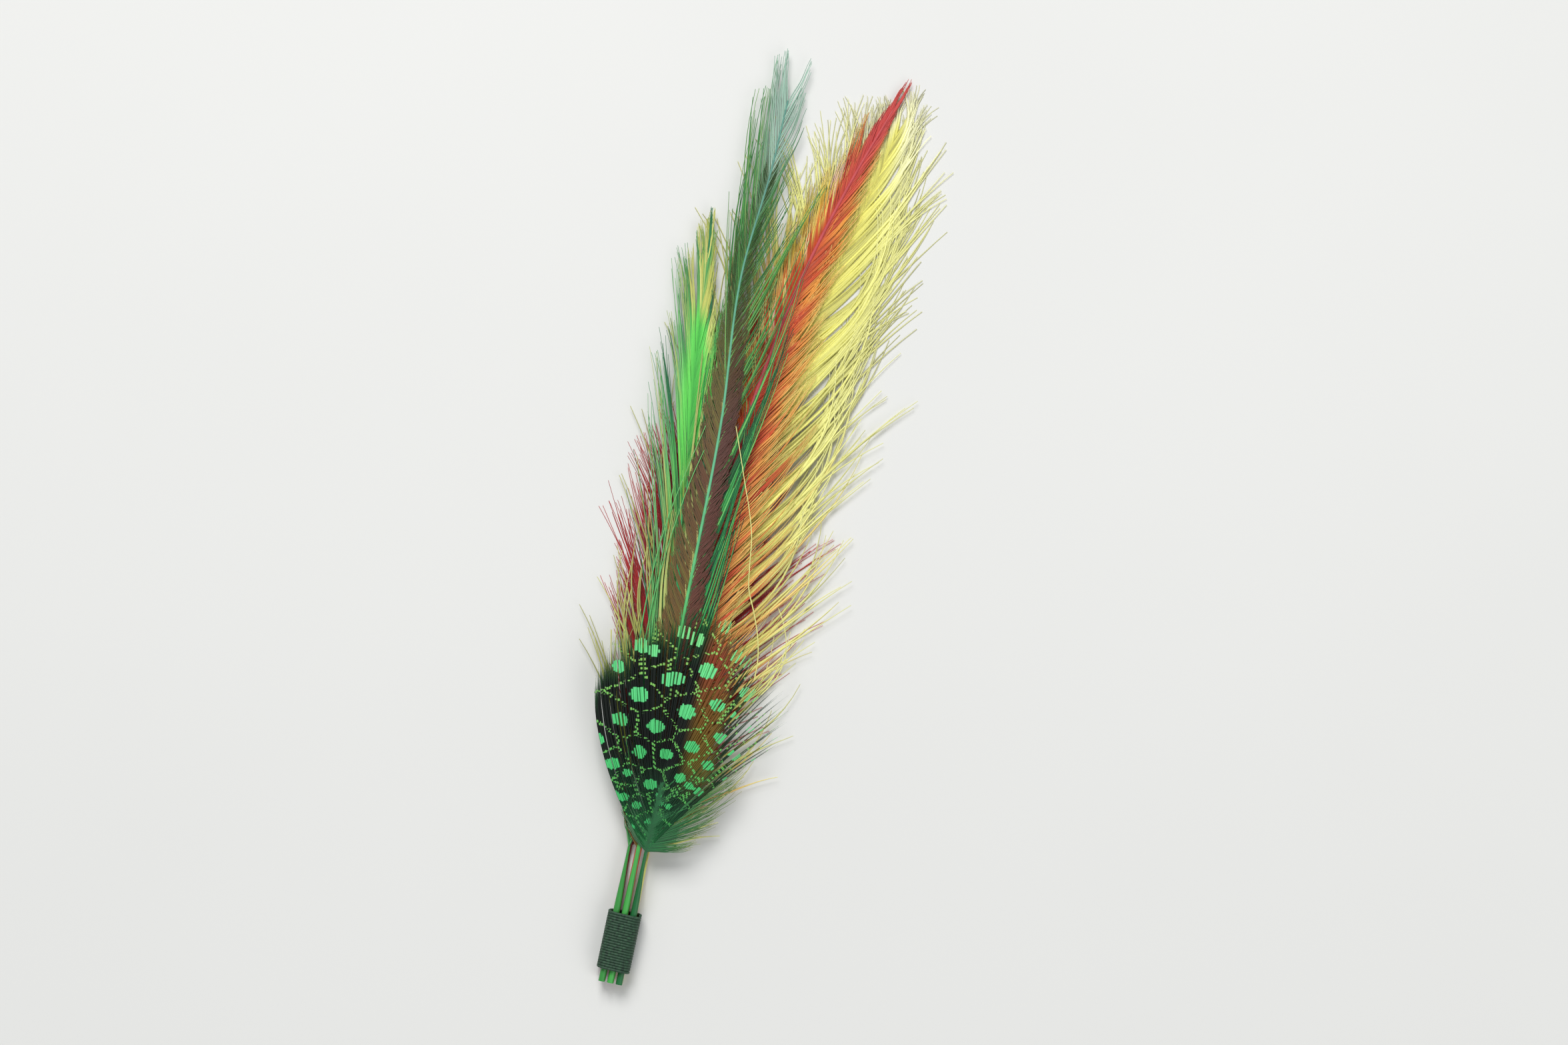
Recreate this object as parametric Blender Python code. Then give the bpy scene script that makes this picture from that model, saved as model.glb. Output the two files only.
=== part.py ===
"""A trimming bunch: six dyed feathers laid over one another, their quills bound together with thread.

The bunch lies on its back on the surface z = 0, with its quills towards -Y and its tips towards +Y.
Sizes are written in millimetres and turned into metres where a mesh is made. While a feather is laid
out, y = 0 is where its first barbs leave the shaft and x = 0 runs through the middle of the binding.
The last step moves the whole bunch so that the origin is under the middle of its box.
"""

import math
from dataclasses import dataclass

import bmesh
import bpy
import numpy as np
from mathutils import Vector

MM = 0.001

# The shafts, from the cut quill to the tip.
QUILL_END_Y = -22.0
QUILL_RADIUS = 0.55
SHAFT_RADIUS = 0.45
SHAFT_TIP_RADIUS = 0.2
FIRST_BARB_Y = 0.5
FEATHER_ROUGHNESS = 0.5
QUILL_STATIONS_Y = (QUILL_END_Y, -16.0, -10.0, -7.5, -5.0, -2.5)

# The vanes are thin plates, cut into tapered locks towards their edges. Shares are of a barb's length, and
# widths are of the room between the lock's two notches.
STATIONS = (0.0, 0.25, 0.5, 0.75, 1.0)
VANE_THICKNESS = 0.3
LOCK_TIP_THICKNESS = 0.2
LOOSE_SHARES = (0.3, 0.58, 0.82, 1.0)
CLOSE_SHARES = (0.35, 0.7, 0.88, 1.0)
LOCK_WIDTHS = (0.86, 0.6, 0.0)
SHORTEST_LOCK = 0.9
LOCK_BEAT = 2.4

# The sway of the barbs' lean along the vane: two waves as (turn rate, phase multiple, share of the sway).
SWAY_WAVES = ((47, 1, 0.6), (83, 2, 0.4))
SWAY_LAYER_PHASE = 1.7

# How the feathers lie over one another: the room one feather takes, and how the pile swells along its middle.
LAYER_PITCH = 0.9
LAYER_PITCH_TIP = 0.66
PITCH_TAPER_Y = (30.0, 100.0)
LAYER_FADE = 24.0
SWELL = 0.35
SWELL_HALF_WIDTH = 14.0
SWELL_RISE_Y = (0.0, 25.0)
SWELL_FALL_Y = (50.0, 115.0)

# The binding, an oval sleeve of thread wound round the quills and pressed flat on its back.
BINDING_Y = (-20.0, -10.0)
BINDING_WALL = 0.5
QUILL_CLEARANCE = 0.3
QUILL_PITCH_X = 1.45
QUILL_PITCH_Z = 1.35
LOWER_QUILL_Z = BINDING_WALL + QUILL_CLEARANCE + QUILL_RADIUS
BINDING_CORNER = 1.5
CORNER_STEPS = 6
BINDING_COLOR = (0.01, 0.03, 0.015, 1)
THREAD_ROUGHNESS = 0.6

# The shaft's cross-section has eight sides, and its vanes grow from two of them.
SHAFT_SIDES = 8
VANE_SIDES = (3, 7)


@dataclass
class Vane:
    """One side of a feather: its barbs' lean from +Y, their length and their bow at the five STATIONS."""

    lean_deg: tuple
    length: tuple
    bow_deg: tuple
    sway_deg: float = 1.0


@dataclass
class Feather:
    """A feather from the quill up. The shaft is a smooth line through (x, y) points in the plan.

    A close feather's barbs hold together for most of their length, and a loose one's part early.
    """

    name: str
    layer: int
    quill: tuple
    shaft: tuple
    locks: int
    left: Vane
    right: Vane
    color: tuple
    is_close: bool = False


FEATHERS = (
    Feather(
        name="red_hackle",
        layer=0,
        quill=(-1, 0),
        shaft=((-1.5, 0), (-1.2, 22), (-0.6, 42), (-0.5, 62)),
        locks=20,
        left=Vane((30, 31, 30, 24, 6), (15, 32, 36, 28, 9), (-6,) * 5),
        right=Vane((50, 43, 35, 26, 6), (18, 37, 40, 29, 9), (-8,) * 5),
        color=(0.42, 0.015, 0.02, 1),
    ),
    Feather(
        name="yellow_hackle",
        layer=1,
        quill=(1, 0),
        shaft=((1.7, 0), (2.4, 32), (4.6, 66), (9.8, 90), (15.4, 116), (17.0, 124)),
        locks=26,
        left=Vane((40, 33, 24, 13, 3), (27, 38, 44, 33, 6), (-6,) * 5),
        right=Vane((60, 39, 33, 30, 16), (23, 38, 43, 33, 9), (8,) * 5),
        color=(0.72, 0.66, 0.09, 1),
    ),
    Feather(
        name="orange_hackle",
        layer=2,
        quill=(0, 0),
        shaft=((0.0, 0), (0.5, 32), (2.0, 66), (6.9, 99), (11.9, 117), (15.6, 128)),
        locks=24,
        left=Vane((16, 14, 12, 7, -12), (20, 22, 22, 19, 7), (8,) * 5),
        right=Vane((48, 38, 30, 24, 18), (16, 27, 25, 16, 7), (8,) * 5),
        color=(0.72, 0.16, 0.02, 1),
    ),
    Feather(
        name="bright_green_hackle",
        layer=3,
        quill=(-1, 1),
        shaft=((-1.6, 0), (-2.4, 26), (-4.2, 54), (-7.6, 82), (-9.2, 98)),
        locks=20,
        left=Vane((24, 19, 17, 14, 8), (20, 37, 43, 28, 8), (-4,) * 5),
        right=Vane((12, 9, 6, 2, -4), (24, 30, 30, 22, 8), (6,) * 5),
        color=(0.1, 0.55, 0.1, 1),
    ),
    Feather(
        name="green_hackle",
        layer=4,
        quill=(0, 1),
        shaft=((0.0, 0), (-0.7, 40), (-1.3, 72), (-3.1, 97), (-1.9, 114), (-1.6, 126)),
        locks=24,
        left=Vane((20, 15, 12, 9, 4), (22, 34, 36, 28, 8), (4,) * 5),
        right=Vane((20, 14, 13, 13, 5), (24, 44, 40, 27, 8), (-6,) * 5),
        color=(0.07, 0.13, 0.04, 1),
    ),
    Feather(
        name="guinea_feather",
        layer=5,
        quill=(1, 1),
        shaft=((1.3, 0), (1.35, 4), (1.4, 8), (1.45, 12)),
        locks=22,
        left=Vane((30, 24.5, 19, 11.5, -1), (28.5, 33.5, 33.5, 31.5, 29), (20, 15, 10, 5, 0), sway_deg=0.2),
        right=Vane((50, 36, 22, 11.5, 2.5), (21, 31, 33.5, 31.5, 29), (0, -10, -6, -3, 0), sway_deg=0.2),
        color=(0.02, 0.09, 0.03, 1),
        is_close=True,
    ),
)


def through(stations, values, at):
    """The height at `at` of a smooth curve through the values that stand at the stations."""
    stations = np.asarray(stations, float)
    values = np.asarray(values, float)
    slopes = np.gradient(values, stations)
    k = int(np.clip(np.searchsorted(stations, at, side="right") - 1, 0, len(stations) - 2))
    step = stations[k + 1] - stations[k]
    f = (at - stations[k]) / step
    start = (1 + 2 * f) * (1 - f) ** 2 * values[k] + f * (1 - f) ** 2 * step * slopes[k]
    end = f**2 * (3 - 2 * f) * values[k + 1] + f**2 * (f - 1) * step * slopes[k + 1]
    return float(start + end)


def ease(low, high, at):
    """0 below low, 1 above high, and a smooth rise between them."""
    f = min(max((at - low) / (high - low), 0.0), 1.0)
    return f * f * (3 - 2 * f)


def shaft_x(feather, y):
    xs, ys = zip(*feather.shaft)
    return through(ys, xs, y)


def shaft_radius(feather, y):
    """The shaft tapers from the quill to a fine tip."""
    if y <= 0:
        return QUILL_RADIUS + (SHAFT_RADIUS - QUILL_RADIUS) * ease(BINDING_Y[1], 0, y)
    tip_y = feather.shaft[-1][1]
    return SHAFT_RADIUS + (SHAFT_TIP_RADIUS - SHAFT_RADIUS) * y / tip_y


def barb_root_y(feather, t):
    """Where along Y the barb leaves the shaft, for t from 0 at the quill to 1 at the shaft's tip."""
    return FIRST_BARB_Y + t * (feather.shaft[-1][1] - FIRST_BARB_Y)


def sway(feather, side, t):
    """A slow swing of the barbs' lean along the vane, which opens and closes the gaps between them."""
    phase = feather.layer * SWAY_LAYER_PHASE + side
    return sum(share * math.sin(rate * t + multiple * phase) for rate, multiple, share in SWAY_WAVES)


def barb_point(feather, side, t, u):
    """The plan point a share u along the barb at t. Side is -1 for the left vane and 1 for the right."""
    vane = feather.left if side < 0 else feather.right
    y = barb_root_y(feather, t)
    root = Vector((shaft_x(feather, y), y))
    lean = math.radians(through(STATIONS, vane.lean_deg, t) + vane.sway_deg * sway(feather, side, t))
    bow = math.radians(through(STATIONS, vane.bow_deg, t))
    length = through(STATIONS, vane.length, t)

    def reach(angle, distance):
        return root + distance * Vector((side * math.sin(angle), math.cos(angle)))

    bend = reach(lean + bow, length / 2)
    tip = reach(lean, length)
    return root * (1 - u) ** 2 + bend * 2 * u * (1 - u) + tip * u**2


def reach_y(feather):
    """How far up Y the feather's last barbs come."""
    return feather.shaft[-1][1] + max(feather.left.length[-1], feather.right.length[-1])


def layer_height(layer, x, y):
    """The height of a layer's middle: the room of the feathers below it that reach this far, swelled mid-pile."""
    pitch = LAYER_PITCH + (LAYER_PITCH_TIP - LAYER_PITCH) * ease(*PITCH_TAPER_Y, y)
    below = [f for f in FEATHERS if f.layer < layer]
    lift = sum(pitch * (1 - ease(reach_y(f), reach_y(f) + LAYER_FADE, y)) for f in below)
    swell = SWELL * ease(*SWELL_RISE_Y, y) * (1 - ease(*SWELL_FALL_Y, y))
    return VANE_THICKNESS / 2 + lift * (1 + swell * math.exp(-((x / SWELL_HALF_WIDTH) ** 2)))


def shaft_point(feather, y):
    """The shaft's middle: in the binding it lies in its own place, and from y = 0 up it lies in its layer."""
    column, row = feather.quill
    bound = Vector((column * QUILL_PITCH_X, y, LOWER_QUILL_Z + row * QUILL_PITCH_Z))
    x = shaft_x(feather, max(y, 0))
    free = Vector((x, y, layer_height(feather.layer, x, max(y, 0))))
    return bound.lerp(free, ease(BINDING_Y[1], 0, y))


class FeatherMesh:
    """Collects the corners and faces of one feather as one closed skin."""

    def __init__(self, feather):
        self.feather = feather
        self.mesh = bmesh.new()

    def corner(self, x, y, z):
        return self.mesh.verts.new((x * MM, y * MM, z * MM))

    def face(self, *corners):
        self.mesh.faces.new(corners)

    def ring(self, y):
        """Eight corners round the shaft: right root, crown, left root on top, and back along the underside.

        The quill is round. The shaft's underside is flush with the vanes, so that the feather lies flat.
        """
        centre = shaft_point(self.feather, y)
        r = shaft_radius(self.feather, y)
        h = VANE_THICKNESS / 2
        under = r + (h - r) * ease(BINDING_Y[1], 0, y)
        outline = ((r, h), (r / 2, r), (-r / 2, r), (-r, h), (-r, -h), (-r / 2, -under), (r / 2, -under), (r, -h))
        return [self.corner(centre.x + dx, centre.y, centre.z + dz) for dx, dz in outline]

    def plate_pair(self, x, y, thickness):
        """The upper and the lower corner of the vane at one plan point."""
        z = layer_height(self.feather.layer, x, y)
        return self.corner(x, y, z + thickness / 2), self.corner(x, y, z - thickness / 2)

    def strip(self, first, second):
        """Closes the space between two rows of (upper, lower) pairs with an upper and a lower face."""
        for (a, b), (c, d) in zip(zip(first, first[1:]), zip(second, second[1:])):
            self.face(a[0], b[0], d[0], c[0])
            self.face(a[1], c[1], d[1], b[1])

    def wall(self, row):
        """The narrow side face that runs along a row of (upper, lower) pairs."""
        for a, b in zip(row, row[1:]):
            self.face(a[0], a[1], b[1], b[0])


def lock_shares(feather):
    """The shares of a barb's length where the vane has corners, and how many of them belong to the joined vane."""
    return (CLOSE_SHARES, 2) if feather.is_close else (LOOSE_SHARES, 1)


def add_vane(made, side, rings):
    """One side of the feather: a joined plate along the shaft that parts into tapered locks."""
    feather = made.feather
    shares, joined = lock_shares(feather)
    upper, lower = (0, 7) if side > 0 else (3, 4)
    rows = []
    for i, ring in enumerate(rings):
        t = i / feather.locks
        row = [(ring[upper], ring[lower])]
        for u in shares[:joined]:
            x, y = barb_point(feather, side, t, u)
            row.append(made.plate_pair(x, y, VANE_THICKNESS))
        rows.append(row)
    for first, second in zip(rows, rows[1:]):
        made.strip(first, second)
    made.wall(rows[0])
    made.wall(rows[-1])
    for k in range(feather.locks):
        add_lock(made, side, k, rows[k][-1], rows[k + 1][-1], shares[joined:])


def add_lock(made, side, k, low_start, high_start, shares):
    """One lock, which narrows from the notches on its two sides to a tip between them."""
    feather = made.feather
    shortened = SHORTEST_LOCK + (1 - SHORTEST_LOCK) * (0.5 + 0.5 * math.sin(LOCK_BEAT * k + side))
    low_row, high_row = [low_start], [high_start]
    for u, width in zip(shares, LOCK_WIDTHS[-len(shares):]):
        middle = barb_point(feather, side, (k + 0.5) / feather.locks, u * shortened)
        thickness = VANE_THICKNESS + (LOCK_TIP_THICKNESS - VANE_THICKNESS) * u
        if width == 0:
            tip = made.plate_pair(middle.x, middle.y, thickness)
            low_row.append(tip)
            high_row.append(tip)
            continue
        for t, row in ((k / feather.locks, low_row), ((k + 1) / feather.locks, high_row)):
            edge = middle.lerp(barb_point(feather, side, t, u * shortened), width)
            row.append(made.plate_pair(edge.x, edge.y, thickness))
    made.strip(low_row[:-1], high_row[:-1])
    low, high, tip = low_row[-2], high_row[-2], low_row[-1]
    made.face(low[0], tip[0], high[0])
    made.face(low[1], high[1], tip[1])
    made.wall(low_row)
    made.wall(high_row)


def make_material(name, color, roughness):
    material = bpy.data.materials.new(name)
    material.use_nodes = True
    shader = material.node_tree.nodes["Principled BSDF"]
    shader.inputs["Base Color"].default_value = color
    shader.inputs["Roughness"].default_value = roughness
    shader.inputs["Metallic"].default_value = 0.0
    material.diffuse_color = color
    return material


def add_object(name, mesh, material):
    bmesh.ops.recalc_face_normals(mesh, faces=mesh.faces)
    data = bpy.data.meshes.new(name)
    mesh.to_mesh(data)
    mesh.free()
    data.materials.append(material)
    made = bpy.data.objects.new(name, data)
    bpy.context.scene.collection.objects.link(made)
    return made


def build_feather(feather):
    """The quill, the shaft and both vanes, as one closed skin."""
    made = FeatherMesh(feather)
    quill = [made.ring(y) for y in QUILL_STATIONS_Y]
    vaned = [made.ring(barb_root_y(feather, i / feather.locks)) for i in range(feather.locks + 1)]
    made.face(*quill[0])
    made.face(*vaned[-1])
    for low, high in zip(quill, quill[1:] + vaned[:1]):
        for side in range(SHAFT_SIDES):
            after = (side + 1) % SHAFT_SIDES
            made.face(low[side], low[after], high[after], high[side])
    for low, high in zip(vaned, vaned[1:]):
        for side in range(SHAFT_SIDES):
            if side not in VANE_SIDES:
                made.face(low[side], low[side + 1], high[side + 1], high[side])
    add_vane(made, -1, vaned)
    add_vane(made, 1, vaned)
    return add_object(feather.name, made.mesh, make_material(feather.name, feather.color, FEATHER_ROUGHNESS))


def rounded_rectangle(half_width, low, high, corner):
    """Points round a rectangle with round corners, in the XZ plane."""
    centres = (
        (half_width - corner, high - corner, 0),
        (corner - half_width, high - corner, 1),
        (corner - half_width, low + corner, 2),
        (half_width - corner, low + corner, 3),
    )
    points = []
    for x, z, quarter in centres:
        for step in range(CORNER_STEPS + 1):
            angle = (quarter + step / CORNER_STEPS) * math.pi / 2
            points.append((x + corner * math.cos(angle), z + corner * math.sin(angle)))
    return points


def build_binding():
    """The wound thread as a flat-backed sleeve that clears every quill."""
    inner_half = QUILL_PITCH_X + QUILL_RADIUS + QUILL_CLEARANCE
    inner_top = LOWER_QUILL_Z + QUILL_PITCH_Z + QUILL_RADIUS + QUILL_CLEARANCE
    outer = rounded_rectangle(inner_half + BINDING_WALL, 0.0, inner_top + BINDING_WALL, BINDING_CORNER)
    inner = rounded_rectangle(inner_half, BINDING_WALL, inner_top, BINDING_CORNER - BINDING_WALL)
    mesh = bmesh.new()
    rings = []
    for outline in (outer, inner):
        for y in BINDING_Y:
            rings.append([mesh.verts.new((x * MM, y * MM, z * MM)) for x, z in outline])
    outer_low, outer_high, inner_low, inner_high = rings
    count = len(outer)
    for i in range(count):
        j = (i + 1) % count
        mesh.faces.new((outer_low[i], outer_low[j], outer_high[j], outer_high[i]))
        mesh.faces.new((inner_low[i], inner_high[i], inner_high[j], inner_low[j]))
        mesh.faces.new((outer_low[i], inner_low[i], inner_low[j], outer_low[j]))
        mesh.faces.new((outer_high[i], outer_high[j], inner_high[j], inner_high[i]))
    return add_object("binding", mesh, make_material("binding_thread", BINDING_COLOR, THREAD_ROUGHNESS))


def centre_on_origin(objects):
    """Moves every mesh so that the origin is under the middle of the bunch's box, on the surface it lies on."""
    corners = np.array([v.co for o in objects for v in o.data.vertices])
    low, high = corners.min(axis=0), corners.max(axis=0)
    middle = Vector(((low[0] + high[0]) / 2, (low[1] + high[1]) / 2, low[2]))
    for o in objects:
        for vertex in o.data.vertices:
            vertex.co -= middle


for leftover in list(bpy.data.objects):
    bpy.data.objects.remove(leftover)

centre_on_origin([build_feather(feather) for feather in FEATHERS] + [build_binding()])
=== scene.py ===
# %% [markdown]
# # A bunch of dyed feathers
# The real thing is a small trimming: a spotted guinea fowl feather in front, five long dyed hackles behind
# it, and thread round the quills. The solid model gives every feather its place, its height in the pile and
# its outline. This lesson grows the barbs, paints them and lights the bunch.

# %% Load the frame
import math
from dataclasses import dataclass

import bpy
import numpy as np
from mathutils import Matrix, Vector


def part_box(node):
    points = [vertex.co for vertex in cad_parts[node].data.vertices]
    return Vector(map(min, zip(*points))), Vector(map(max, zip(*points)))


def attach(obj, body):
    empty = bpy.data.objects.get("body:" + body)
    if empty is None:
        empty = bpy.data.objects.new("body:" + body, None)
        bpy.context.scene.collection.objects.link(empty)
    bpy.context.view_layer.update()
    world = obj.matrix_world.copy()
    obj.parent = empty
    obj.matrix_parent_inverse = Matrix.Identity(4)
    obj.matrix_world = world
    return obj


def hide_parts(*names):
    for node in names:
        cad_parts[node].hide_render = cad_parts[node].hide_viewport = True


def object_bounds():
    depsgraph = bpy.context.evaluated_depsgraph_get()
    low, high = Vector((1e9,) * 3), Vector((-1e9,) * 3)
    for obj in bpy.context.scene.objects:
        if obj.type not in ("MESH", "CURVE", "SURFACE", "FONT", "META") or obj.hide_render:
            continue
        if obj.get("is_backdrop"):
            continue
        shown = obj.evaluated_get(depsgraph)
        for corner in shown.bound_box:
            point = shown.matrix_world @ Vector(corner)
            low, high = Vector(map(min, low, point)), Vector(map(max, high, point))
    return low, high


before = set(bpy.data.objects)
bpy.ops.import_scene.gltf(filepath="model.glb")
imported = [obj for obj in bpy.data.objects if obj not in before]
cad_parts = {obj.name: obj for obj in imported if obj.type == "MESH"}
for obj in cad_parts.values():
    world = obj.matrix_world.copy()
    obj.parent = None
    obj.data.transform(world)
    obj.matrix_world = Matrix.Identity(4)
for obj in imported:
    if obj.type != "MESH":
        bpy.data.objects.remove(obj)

MM = 0.001
cad_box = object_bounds()
print("solids:", sorted(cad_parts), "box:", [tuple(round(v, 4) for v in corner) for corner in cad_box])

# %% [markdown]
# ## The camera
# The photograph looks square at the bunch, which leans twelve degrees to the right. Here the bunch lies on
# its back, so the camera hangs straight above it and is rolled by the same twelve degrees. One pixel of the
# photograph is 0.11 mm, and the point where the feathers come together fixes the frame sideways and up.

# %% Place the camera
PHOTO_SIZE = (2352, 1568)
MM_PER_PIXEL = 0.11
GATHER_PIXEL = (958, 1276)
LEAN = math.radians(12)
LENS_MM = 85
SENSOR_MM = 36
NEAREST_SEEN_M = 0.01


def put(name, data):
    """Puts a new object with this data in the scene."""
    made = bpy.data.objects.new(name, data)
    bpy.context.scene.collection.objects.link(made)
    return made


binding_low, binding_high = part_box("binding")
BINDING_LENGTH = 10.0
BINDING_Y = (-20.0, -20.0 + BINDING_LENGTH)
layout_origin = Vector((
    (binding_low.x + binding_high.x) / 2,
    binding_high.y - BINDING_Y[1] * MM,
    0,
))

across = (PHOTO_SIZE[0] / 2 - GATHER_PIXEL[0]) * MM_PER_PIXEL * MM
up = (GATHER_PIXEL[1] - PHOTO_SIZE[1] / 2) * MM_PER_PIXEL * MM
aim = layout_origin + Vector((
    across * math.cos(LEAN) - up * math.sin(LEAN),
    across * math.sin(LEAN) + up * math.cos(LEAN),
    0,
))

camera_data = bpy.data.cameras.new("camera")
camera_data.lens = LENS_MM
camera_data.sensor_width = SENSOR_MM
camera_data.clip_start = NEAREST_SEEN_M
camera = put("camera", camera_data)
distance = PHOTO_SIZE[0] * MM_PER_PIXEL * MM / SENSOR_MM * LENS_MM
camera.location = aim + Vector((0, 0, distance))
camera.rotation_euler = (0, 0, LEAN)
bpy.context.scene.camera = camera
print("the camera hangs", round(distance, 3), "m above the floor")

# %% [markdown]
# ## Sums made of nodes
# Geometry Nodes and shader nodes do arithmetic one node at a time, which is hard to read. A small class
# wraps a socket, so that an ordinary expression such as `1 - u * u` adds the Math nodes that it needs. The
# same class serves both kinds of tree.

# %% Wrap sockets as values
class Value:
    """A socket that can stand in an expression."""

    def __init__(self, net, socket):
        self.net = net
        self.socket = socket

    def __rsub__(self, other):
        return self.net.math("SUBTRACT", other, self)


def operator(operation):
    """A method of Value that adds one Math node."""
    return lambda value, other: value.net.math(operation, value, other)


for names, operation in (
    ("add radd", "ADD"),
    ("sub", "SUBTRACT"),
    ("mul rmul", "MULTIPLY"),
    ("truediv", "DIVIDE"),
    ("mod", "FLOORED_MODULO"),
    ("gt", "GREATER_THAN"),
    ("lt", "LESS_THAN"),
):
    for name in names.split():
        setattr(Value, f"__{name}__", operator(operation))


class Net:
    """A node tree that is being wired."""

    def __init__(self, tree):
        self.tree = tree

    def pick(self, sockets, key):
        if isinstance(key, int):
            return sockets[key]
        return next(s for s in sockets if s.name == key and s.enabled)

    def node(self, kind, sockets=(), **settings):
        """Adds a node, makes its settings, and then fills or links its sockets."""
        made = self.tree.nodes.new(kind)
        for name, setting in settings.items():
            setattr(made, name, setting)
        for key, given in dict(sockets).items():
            socket = self.pick(made.inputs, key)
            if isinstance(given, Value):
                self.tree.links.new(given.socket, socket)
            else:
                socket.default_value = given
        return made

    def out(self, node, key=0):
        return Value(self, self.pick(node.outputs, key))

    def add(self, kind, sockets=(), key=0, **settings):
        """Adds a node and gives back one of its outputs."""
        return self.out(self.node(kind, sockets, **settings), key)

    def math(self, operation, *values):
        return self.add("ShaderNodeMath", dict(enumerate(values)), operation=operation)

    def smooth(self, low, high, value):
        """0 below low, 1 above high, and a smooth rise between them."""
        sockets = {0: value, 1: low, 2: high}
        return self.add("ShaderNodeMapRange", sockets, interpolation_type="SMOOTHSTEP")

    def noise(self, w, scale, detail=2.0):
        sockets = {"W": w, "Scale": scale, "Detail": detail}
        return self.add("ShaderNodeTexNoise", sockets, noise_dimensions="1D")

    def split(self, vector):
        parts = self.node("ShaderNodeSeparateXYZ", {"Vector": vector})
        return [self.out(parts, axis) for axis in "XYZ"]


def mix(start, end, share):
    return start + (end - start) * share


# %% [markdown]
# ## The feathers in numbers
# Every barb of a feather leaves the shaft at some lean and runs to the feather's outline. Both change slowly
# along the shaft, so five values a side say it all: the lean from the shaft's direction and the barb's
# length, at the quill end, a quarter, half and three quarters of the way up, and at the tip. Most of the
# values shape the solids too, so the barbs end near the ends of the solids' locks, and some are changed a
# little for the look. Lengths are in millimetres.

# %% State each feather
STATIONS = (0.0, 0.25, 0.5, 0.75, 1.0)
FIRST_BARB_Y = 0.5
QUILL_END_Y = -22.0
QUILL_RADIUS = 0.55
SHAFT_RADIUS = 0.45
SHAFT_TIP_RADIUS = 0.2
QUILL_PITCH_X = 1.45
QUILL_PITCH_Z = 1.35
LOWER_QUILL_Z = 1.35
NONE = (0.0,) * 5


@dataclass
class Vane:
    """One side of a feather: the barbs' leans, lengths and bows, and the share of them that stays short."""

    lean_deg: tuple
    length: tuple
    bow_deg: tuple
    short: tuple = NONE


@dataclass
class Feather:
    """A feather's place in the pile, its shaft and its two vanes."""

    name: str
    layer: int
    quill: tuple
    shaft: tuple
    left: Vane
    right: Vane


FEATHERS = (
    Feather(
        "red_hackle", layer=0, quill=(-1, 0),
        shaft=((-1.5, 0), (-1.2, 22), (-0.6, 42), (-0.5, 62)),
        left=Vane((22, 27, 27, 23, 6), (12, 32, 37, 30, 9), (-6,) * 5, (0.4, 0.1, 0.1, 0.1, 0)),
        right=Vane((50, 43, 35, 26, 6), (14, 37, 40, 29, 9), (-8,) * 5, (0.5, 0.5, 0.5, 0.4, 0)),
    ),
    Feather(
        "yellow_hackle", layer=1, quill=(1, 0),
        shaft=((1.7, 0), (2.4, 32), (4.6, 66), (9.8, 90), (15.4, 116), (17.0, 124)),
        left=Vane((29, 28, 24, 15, 3), (39, 42, 44, 36, 6), (8, 4, -6, -6, -6), (0.6, 0.85, 0.6, 0, 0)),
        right=Vane((60, 39, 33, 30, 16), (23, 38, 43, 33, 9), (8, 11, 13, 13, 10), (0.96, 0.5, 0.1, 0, 0)),
    ),
    Feather(
        "orange_hackle", layer=2, quill=(0, 0),
        shaft=((0.0, 0), (0.5, 32), (2.0, 66), (6.9, 99), (11.9, 117), (15.6, 128)),
        left=Vane((16, 14, 12, 7, -12), (20, 22, 22, 19, 7), (8,) * 5),
        right=Vane((48, 38, 30, 24, 18), (16, 27, 25, 16, 7), (8,) * 5, (0.95, 0.3, 0.2, 0.2, 0)),
    ),
    Feather(
        "bright_green_hackle", layer=3, quill=(-1, 1),
        shaft=((-1.6, 0), (-2.4, 26), (-4.2, 54), (-7.6, 82), (-9.2, 98)),
        left=Vane((24, 19, 17, 14, 8), (20, 37, 43, 28, 8), (-4,) * 5, (0.9, 0.85, 0.35, 0, 0)),
        right=Vane((12, 9, 6, 2, -4), (24, 30, 30, 22, 8), (6,) * 5),
    ),
    Feather(
        "green_hackle", layer=4, quill=(0, 1),
        shaft=((0.0, 0), (-0.7, 40), (-1.3, 72), (-3.1, 97), (-1.9, 114), (-1.6, 126)),
        left=Vane((12, 11, 9, 8, 4), (36, 38, 34, 26, 8), (12, 8, 4, 0, 0), (0.1, 0.2, 0.8, 1, 1)),
        right=Vane((9, 8, 14, 17, 8), (40, 44, 44, 32, 8), (10, 6, 0, 0, 0), (0.1, 0, 0.5, 0.9, 1)),
    ),
    Feather(
        "guinea_feather", layer=5, quill=(1, 1),
        shaft=((1.3, 0), (1.35, 4), (1.4, 8), (1.45, 12)),
        left=Vane((30, 24.5, 19, 11.5, -1), (28.5, 33.5, 33.5, 31.5, 30), (20, 15, 10, 5, 0)),
        right=Vane((40, 30, 20, 10.6, 2.5), (29, 34, 34, 33, 30), (-12, -9, -5, -3, 0)),
    ),
)
PLACE = {feather.name: feather for feather in FEATHERS}
print("feathers, from the back to the front:", list(PLACE))

# %% [markdown]
# ## The shaft as a guide line
# A barb has to know where the shaft runs and how it should leave it. The guide is a line of vertices from
# the cut quill to the tip, and each vertex carries the values of its place as attributes. A smooth curve
# through the stations gives the values in between.

# %% Draw the guides
GUIDE_STEP = 1.0


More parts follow.
